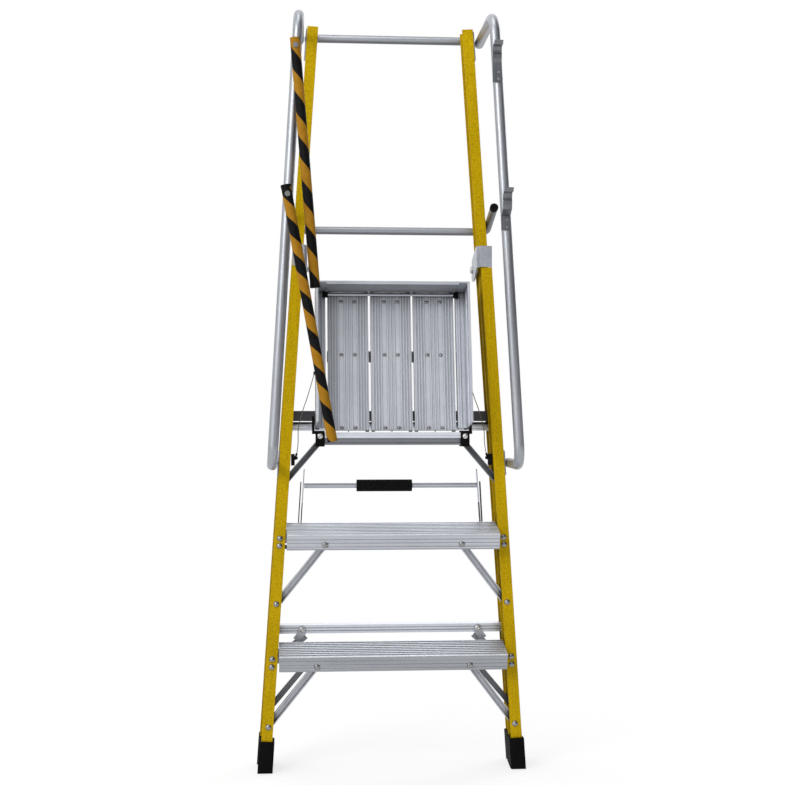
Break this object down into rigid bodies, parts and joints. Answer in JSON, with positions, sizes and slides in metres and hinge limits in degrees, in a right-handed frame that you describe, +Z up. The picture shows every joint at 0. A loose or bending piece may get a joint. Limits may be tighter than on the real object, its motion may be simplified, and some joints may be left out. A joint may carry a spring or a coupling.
{
  "type": "platform step ladder",
  "caption": "Folding platform step ladder with fibreglass stiles, ribbed treads, hinged deck, guard rails, side handrails and swinging gate bars, stored folded.",
  "frame": {"origin": "bottom centre of the folded ladder's bounding box, on the floor", "axes": "+Z up, -Y towards the climbing side, +X to the right of a person facing the ladder from the climbing side"},
  "size_m": [0.675, 0.3535, 1.876],
  "materials": {
    "fibreglass": "pultruded glass fibre, satin",
    "rubber": "moulded, matt",
    "foam": "soft foam grip",
    "black_plastic": "moulded, satin",
    "steel": "zinc plated",
    "wire": "stranded wire rope",
    "hazard_tape": "aluminium tube wrapped in orange-yellow and black tape",
    "aluminium": "mill finish extrusion, satin"
  },
  "bodies": {
    "front_frame": {"front_stile_left": "fibreglass", "front_stile_right": "fibreglass", "front_boot_left": "rubber", "front_boot_right": "rubber", "upper_tread": "aluminium", "lower_tread": "aluminium", "upper_tread_brace_left": "aluminium", "upper_tread_brace_right": "aluminium", "lower_tread_brace_left": "aluminium", "lower_tread_brace_right": "aluminium", "deck_strut_left": "aluminium", "deck_strut_right": "aluminium", "hinge_bracket_left": "aluminium", "hinge_bracket_right": "aluminium", "handrail_plate_left": "aluminium", "handrail_plate_right": "aluminium", "lower_tread_rear_braces": "aluminium", "wire_anchors": "black_plastic", "beam_corner_left": "black_plastic", "beam_corner_right": "black_plastic", "deck_front_beam": "aluminium", "front_frame_rivets": "steel", "deck_wires": "wire"},
    "rear_frame": {"rear_stile_left": "fibreglass", "rear_stile_right": "fibreglass", "rear_boot_left": "rubber", "rear_boot_right": "rubber", "rear_corner_braces": "aluminium", "rear_crossbar": "aluminium", "deck_rest_channel": "aluminium", "deck_rest_tube": "aluminium", "top_rail": "aluminium", "mid_rail": "aluminium", "mid_rail_caps": "black_plastic", "post_top_plates": "aluminium", "fold_pivot_bolts": "steel"},
    "deck": {"deck_plank_left": "aluminium", "deck_plank_centre": "aluminium", "deck_plank_right": "aluminium", "deck_side_left": "aluminium", "deck_side_right": "aluminium", "deck_toe_board": "aluminium", "deck_rod": "aluminium", "deck_rod_blocks": "black_plastic", "deck_rivets": "steel"},
    "left_handrail": {"handrail_left": "aluminium", "gate_pivot_screws": "steel"},
    "right_handrail": {"handrail_right": "aluminium", "gate_hook_upper": "aluminium", "gate_hook_lower": "aluminium"},
    "upper_gate": {"upper_gate_bar": "hazard_tape", "upper_gate_bar_cap": "black_plastic"},
    "lower_gate": {"lower_gate_bar": "hazard_tape", "lower_gate_bar_cap": "black_plastic"},
    "front_links": {"front_link_left": "aluminium", "front_link_right": "aluminium", "handle_tube": "aluminium", "handle_grip": "foam"},
    "rear_links": {"rear_link_left": "aluminium", "rear_link_right": "aluminium"}
  },
  "joints": [
    {"name": "rear_fold", "type": "hinge", "parent": "front_frame", "child": "rear_frame", "pos_m": [0, 0.12075, 1.258], "axis": [1, 0, 0], "range_deg": [0, 24]},
    {"name": "deck_hinge", "type": "hinge", "parent": "front_frame", "child": "deck", "pos_m": [0, 0.06075, 0.872], "axis": [-1, 0, 0], "range_deg": [0, 63.6], "deforming": ["deck_wires"]},
    {"name": "left_handrail_pivot", "type": "hinge", "parent": "front_frame", "child": "left_handrail", "pos_m": [-0.2995, 0.05775, 0.765], "axis": [1, 0, 0], "range_deg": [0, 13.2]},
    {"name": "right_handrail_pivot", "type": "hinge", "parent": "front_frame", "child": "right_handrail", "pos_m": [0.2995, 0.05775, 0.765], "axis": [1, 0, 0], "range_deg": [0, 13.2]},
    {"name": "upper_gate_pivot", "type": "hinge", "parent": "left_handrail", "child": "upper_gate", "pos_m": [-0.2453, -0.13475, 1.765], "axis": [0, -1, 0], "range_deg": [0, 85]},
    {"name": "lower_gate_pivot", "type": "hinge", "parent": "left_handrail", "child": "lower_gate", "pos_m": [-0.2644, -0.16125, 1.406], "axis": [0, -1, 0], "range_deg": [0, 79.6]},
    {"name": "front_link_pivot", "type": "hinge", "parent": "front_frame", "child": "front_links", "pos_m": [0, 0.08275, 0.553], "axis": [-1, 0, 0], "range_deg": [0, 77.5]},
    {"name": "rear_link_pivot", "type": "hinge", "parent": "rear_frame", "child": "rear_links", "pos_m": [0, 0.09875, 0.553], "axis": [1, 0, 0], "range_deg": [0, 73]}
  ],
  "couplings": [
    {"joint": "deck_hinge", "follows": "rear_fold", "ratio": 2.6458},
    {"joint": "left_handrail_pivot", "follows": "rear_fold", "ratio": 0.5442},
    {"joint": "right_handrail_pivot", "follows": "rear_fold", "ratio": 0.5442},
    {"joint": "front_link_pivot", "follows": "rear_fold", "ratio": 3.2208},
    {"joint": "rear_link_pivot", "follows": "rear_fold", "ratio": 3.0292}
  ]
}
